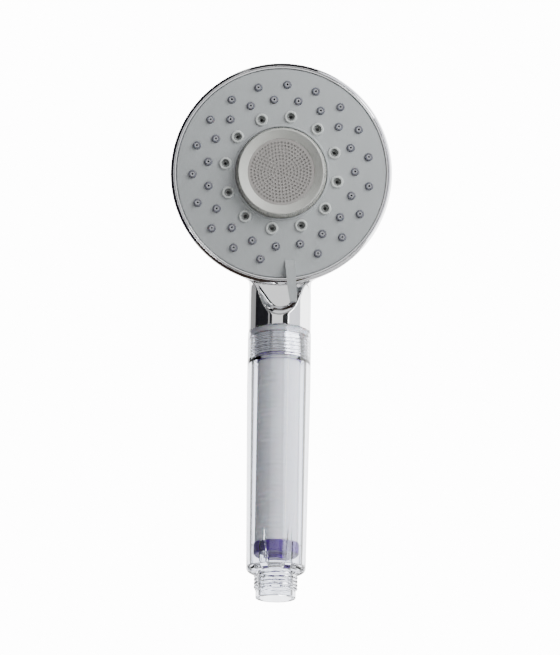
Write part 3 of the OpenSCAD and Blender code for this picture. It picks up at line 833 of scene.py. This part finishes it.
def prism(outline: Profile, low: float, high: float) -> tuple[list, list]:
    """Stretches an outline in X and Z along Y.

    Args:
        outline: (x, z) points in order.
        low: first Y.
        high: last Y.

    Returns:
        Points and faces.
    """
    count = len(outline)
    verts = [(x, y, z) for y in (low, high) for x, z in outline]
    faces = [[i, (i + 1) % count, count + (i + 1) % count, count + i] for i in range(count)]
    return verts, [*faces, list(range(count))[::-1], list(range(count, 2 * count))]


# ---------------------------------------------------------------- details of the spray face

def ring_places(count: int, r: float, first: float = 0.0, skip: int = 0) -> list[tuple[float, float]]:
    """Places on a ring, counted in degrees from the lever round the face.

    Args:
        count: number of places.
        r: the ring's radius.
        first: angle of the first place.
        skip: how many of the first places are left out.

    Returns:
        (x, y) of each place.
    """
    turns = [math.radians(first + 360 * i / count - 90) for i in range(skip, count)]
    return [(r * math.cos(a), r * math.sin(a)) for a in turns]


def repeat(outline: Profile, segments: int, places: Sequence[tuple[float, float]],
           lift: Callable[[float], float] = lambda r: 0.0) -> tuple[list, list]:
    """Turns one outline and sets a copy of it at each place.

    Args:
        outline: the closed outline.
        segments: steps round each copy.
        places: (x, y) of each copy.
        lift: height added to a copy from its distance to the middle.

    Returns:
        Points and faces of all copies.
    """
    one, sides = lathe(outline, segments)
    verts, faces = [], []
    for x, y in places:
        start, rise = len(verts), lift(math.hypot(x, y))
        verts += [(px + x, py + y, pz + rise) for px, py, pz in one]
        faces += [[start + i for i in f] for f in sides]
    return verts, faces


@dataclass
class SprayDetails:
    """The knurled mist ring, the burrs of the mist holes, the jets' collars and the nozzles' discs.

    Args:
        teeth: teeth on the knurled ring.
        base_r: radius of the knurl at its foot, in millimetres, as are the sizes below.
        top_r: radius of the knurl at its top.
        step: distance between mist holes.
        rings: rings of mist holes.
        jet_ring_r: radius of the ring of jets.
        nozzles: places on each ring of nozzles.
        outer_ring_r: radius of the outer ring of nozzles.
        middle_ring_r: radius of the middle ring of nozzles.
        face_r: radius of the face.
        face_rise: how far the face domes out.
        face_edge_z: height of the face's edge.
        plate_z: height of the mist plate's front.
        pieces: the pieces, once built.
    """

    teeth: int = 140
    base_r: float = 22.2
    top_r: float = 20.9
    step: float = 1.6
    rings: int = 9
    jet_ring_r: float = 27.6
    nozzles: int = 19
    outer_ring_r: float = 43.3
    middle_ring_r: float = 36.0
    face_r: float = 51.15
    face_rise: float = 2.4
    face_edge_z: float = -0.7
    plate_z: float = 4.7
    pieces: list = field(default_factory=list)

    def face_top(self, r: float) -> float:
        """Height of the domed face at a distance from its middle."""
        return self.face_edge_z + self.face_rise * (1 - (r / self.face_r) ** 2)

    def build(self) -> None:
        """Makes the four pieces."""
        side = [(self.base_r + (self.top_r - self.base_r) * i / 8, 0.6 + 6.1 * i / 8) for i in range(9)]
        outline = [(19.9, 0.6), *side, *arc((self.top_r - 0.45, 6.75), 0.45, 10, 100, 5),
                   (20.1, 7.0), (19.6, 6.75), (16.9, 5.15), (16.5, 4.95), (16.3, 4.78), (19.9, 4.75)]

        def tooth(r: float, z: float, a: float) -> float:
            """Cuts rounded teeth into the ring's side."""
            if r < self.top_r - 0.1 or not 0.9 < z < 6.75:
                return r
            return r - 0.32 * (0.5 - 0.5 * math.cos(self.teeth * a)) ** 1.5

        knob = new_piece("mist_knob", *lathe(outline, self.teeth * 6, tooth), HEAD.turned, crease=50.0)
        holes = [(0.0, 0.0)]
        for k in range(1, self.rings + 1):
            holes += ring_places(6 * k, k * self.step, 90 + (k % 2) * 30 / k)
        burr = [(0.24, 0.02), (0.27, 0.16), (0.38, 0.18), (0.56, 0.02), (0.56, -0.01), (0.24, -0.01)]
        burrs = new_piece("mist_burrs", *repeat(burr, 12, holes, lambda r: self.plate_z), HEAD.turned,
                          crease=50.0)
        foot = self.face_top(self.jet_ring_r)
        ring = [(1.97, -0.3), (1.97, 0.5), *arc((2.27, 0.5), 0.3, 180, 90, 4)[1:],
                *arc((2.55, 0.35), 0.45, 90, 0, 5), (3.1, 0.05), (3.1, -0.3)]
        collars = new_piece("jet_collars", *repeat(ring, 40, ring_places(12, self.jet_ring_r, 15.0),
                                                   lambda r: foot + 0.12), HEAD.turned, crease=50.0)
        tips = [*ring_places(self.nozzles, self.outer_ring_r, skip=1),
                *ring_places(self.nozzles, self.middle_ring_r, 180 / self.nozzles)]
        disc = [(0.52, 0.55), (0.52, 0.9), (0.58, 0.95), (1.08, 0.95), (1.16, 0.88), (1.16, 0.55)]
        discs = new_piece("nozzle_discs", *repeat(disc, 28, tips, self.face_top), HEAD.turned, crease=50.0)
        self.pieces = [knob, burrs, collars, discs]

    def dress(self) -> None:
        """Finishes the pieces and joins them to their bodies."""
        knob, burrs, collars, discs = self.pieces
        # The jet collars get the lighter collar finish, a painted highlight on the face's grey.
        for piece, finish, slot, body in ((knob, Finish.HUB, "hub_grey", "mist_ring"),
                                          (burrs, Finish.MIST, "steel", "mist_plate"),
                                          (collars, Finish.COLLAR, "face_grey", "spray_face"),
                                          (discs, Finish.DISC, "silicone", "spray_face")):
            dress(piece, finish)
            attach(piece, body)
        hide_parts("mist_ring")


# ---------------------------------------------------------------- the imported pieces

@dataclass
class PackedPieces:
    """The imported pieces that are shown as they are, each with its finish."""

    finishes: dict = field(default_factory=lambda: {
        Finish.FACE: ["face_plate", "selector_lever"],
        # The jet ring's dark grey is partly its own colour and partly painted shade for its cups.
        Finish.JET: ["jet_ring"],
        Finish.INNER: ["water_body", "chamber_plate", "filter_core"],
        Finish.CAP: ["upper_cap", "lower_cap"],
        Finish.SILICONE: ["nozzle_mat"],
        Finish.SEAL: ["upper_cap_o_ring", "tube_o_ring", "diverter_seal", "chamber_o_ring", "mist_seal"],
        Finish.FROST: ["neck_gasket"],
        Finish.STEEL: ["body_screws", "diverter_springs", "detent_ball", "detent_spring", "centre_screw",
                       "centre_washer"],
        Finish.MIST: ["mist_plate"],
    })

    def dress(self) -> None:
        """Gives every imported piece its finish."""
        for finish, nodes in self.finishes.items():
            for name in nodes:
                dress(frame["nodes"][name], finish)


# ---------------------------------------------------------------- the studio

@dataclass
class Studio:
    """Pale floor, soft light from the right, dark cards for the chrome, and the camera.

    Args:
        azimuth: direction that the camera looks from, in degrees round from the front.
        elevation: angle that it looks up by.
        roll: its roll.
        distance: its distance from the point it looks at, in metres.
        target: the point at the middle of its view.
        lens: focal length for a 36 mm sensor.
    """

    azimuth: float = -0.63
    elevation: float = 17.81
    roll: float = 0.88
    distance: float = 1.2423
    target: Vector = field(default_factory=lambda: Vector((0.00036, -0.0155, 0.13038)))
    lens: float = 164.7

    def floor(self) -> None:
        """Lays the floor."""
        verts = [(-4, -4, 0), (4, -4, 0), (4, 4, 0), (-4, 4, 0)]
        floor = new_piece("floor", verts, [(0, 1, 2, 3)], Matrix.Translation((0, 0, -0.4)), smooth=False)
        paper = Shader("floor_paper", Specular_IOR_Level=0.2)
        grain = paper.noise(30.0, 5.0)
        paper.tint((0.86, 0.86, 0.86), grain, 0.02)
        paper.roughen(grain, 0.7, 0.85)
        paper.bump(paper.noise(400.0, 3.0), 0.0001, 0.2)
        floor.data.materials.append(paper.material)

    def card(self, name: str, centre: Sequence[float], facing: Sequence[float], size: tuple[float, float],
             colour: Color, glow: float = 0.0, seen_by: Iterable[str] = ("diffuse", "glossy")) -> None:
        """Stands up one card that only some kinds of light ray see.

        Args:
            name: the card's name.
            centre: its middle.
            facing: the point it faces.
            size: width and height.
            colour: its colour.
            glow: strength of its own light.
            seen_by: the kinds of ray that see it.
        """
        w, h = size[0] / 2, size[1] / 2
        aim = (Vector(facing) - Vector(centre)).normalized().to_track_quat("Z", "Y").to_matrix().to_4x4()
        card = new_piece(name, [(-w, -h, 0), (w, -h, 0), (w, h, 0), (-w, h, 0)], [(0, 1, 2, 3)],
                         Matrix.Translation(centre) @ aim, smooth=False)
        paper = Shader(f"{name}_paper", Emission_Strength=glow, Emission_Color=(*colour, 1.0),
                       Specular_IOR_Level=0.0)
        grain = paper.noise(8.0, 4.0)
        paper.tint(tuple(c * (0.0 if glow else 1.0) for c in colour), grain, 0.03)
        paper.roughen(grain, 0.8, 0.9)
        card.data.materials.append(paper.material)
        for kind in ("camera", "diffuse", "glossy", "transmission", "shadow"):
            setattr(card, f"visible_{kind}", kind in seen_by)

    def bar(self, name: str, start: float, end: float, height: float, colour: Color, glow: float = 0.0,
            seen_by: Iterable[str] = ("diffuse", "glossy")) -> None:
        """Stands up a card beside the neck that fills the view from one direction to another.

        Args:
            name: the card's name.
            start: first direction in degrees, from the front round to the right.
            end: last direction.
            height: its height.
            colour: its colour.
            glow: strength of its own light.
            seen_by: the kinds of ray that see it.
        """
        reach, turn = 0.8, math.radians((start + end) / 2)
        centre = (MIDDLE[0] + reach * math.sin(turn), MIDDLE[1] - reach * math.cos(turn), MIDDLE[2])
        width = 2 * reach * math.tan(math.radians((end - start) / 2))
        self.card(name, centre, MIDDLE, (width, height), colour, glow, seen_by)

    def lamp(self, name: str, place: Sequence[float], power: float, size: float) -> None:
        """Hangs one soft lamp aimed at the object's middle."""
        light = bpy.data.lights.new(name, "AREA")
        light.energy, light.size, light.shape = power, size, "DISK"
        lamp = bpy.data.objects.new(name, light)
        lamp.location = place
        lamp.rotation_mode = "QUATERNION"
        lamp.rotation_quaternion = (Vector(place) - self.target).to_track_quat("Z", "Y")
        bpy.context.scene.collection.objects.link(lamp)

    def sky(self) -> None:
        """Surrounds the scene with white."""
        world = bpy.data.worlds.new("studio_white")
        bpy.context.scene.world = world
        world.use_nodes = True
        back = world.node_tree.nodes["Background"]
        back.inputs["Color"].default_value = (1.0, 1.0, 1.0, 1.0)
        back.inputs["Strength"].default_value = 0.4

    def camera(self) -> None:
        """Sets the camera."""
        az, el, roll = (math.radians(a) for a in (self.azimuth, self.elevation, self.roll))
        ahead = Vector((math.sin(az) * math.cos(el), math.cos(az) * math.cos(el), math.sin(el)))
        right = ahead.cross(Vector((0, 0, 1))).normalized()
        up = right.cross(ahead)
        x = right * math.cos(roll) + up * math.sin(roll)
        y = up * math.cos(roll) - right * math.sin(roll)
        data = bpy.data.cameras.new("camera")
        data.lens, data.sensor_width, data.sensor_fit = self.lens, 36.0, "HORIZONTAL"
        data.clip_start, data.clip_end = 0.05, 20.0
        camera = bpy.data.objects.new("camera", data)
        camera.matrix_world = (Matrix.Translation(self.target - ahead * self.distance)
                               @ Matrix((x, y, -ahead)).transposed().to_4x4())
        bpy.context.scene.collection.objects.link(camera)
        bpy.context.scene.camera = camera

    def build(self) -> None:
        """Builds the whole studio."""
        self.floor()
        self.sky()
        white, black = (1.0, 1.0, 1.0), (0.02, 0.02, 0.024)
        self.card("backdrop", (0.0, 2.2, 0.9), (0.0, 0.0, 0.15), (3.4, 3.4), white, 14.0, ("camera",))
        self.card("backdrop_soft", (0.0, 2.1, 0.9), (0.0, 0.0, 0.15), (3.4, 3.4), white, 5.2,
                  ("glossy", "transmission"))
        self.bar("left_dark", -103.0, -44.0, 3.4, black)
        self.bar("left_shade", -80.0, -44.0, 1.6, white, 0.6, ("transmission",))
        self.bar("left_line", -38.0, -29.0, 1.6, black, seen_by=("glossy",))
        self.bar("right_line", 12.0, 33.0, 1.6, (0.03, 0.03, 0.035), seen_by=("glossy",))
        self.bar("right_white", 84.0, 140.0, 3.4, white, 5.0, ("glossy",))
        self.bar("right_mid", 36.0, 84.0, 3.4, (0.93, 0.94, 1.0), 1.6, ("glossy",))
        self.bar("right_soft", 30.0, 95.0, 1.2, white, 9.0, ("transmission",))
        self.card("front_soft", (0.1, -1.7, 0.25), MIDDLE, (2.0, 2.6), white, 1.2, ("glossy", "transmission"))
        self.card("top_dark", (0.0, -0.34, 0.99), MIDDLE, (0.5, 0.5), black, seen_by=("glossy",))
        self.card("low_brown", (-0.15, -0.1, -0.25), MIDDLE, (0.6, 0.6), (0.045, 0.032, 0.027),
                  seen_by=("glossy",))
        self.lamp("right_lamp", (0.62, -0.6, 0.5), 12.5, 0.8)
        self.camera()


def main() -> None:
    """Builds the shower head in order and leaves the scene ready to draw."""
    logging.basicConfig(level=logging.INFO, format="%(name)s: %(message)s")
    for part in (ChromeHead(), FilterHandle(), SprayDetails()):
        part.build()
        part.dress()
    PackedPieces().dress()
    Studio().build()


if __name__ == "__main__":
    main()
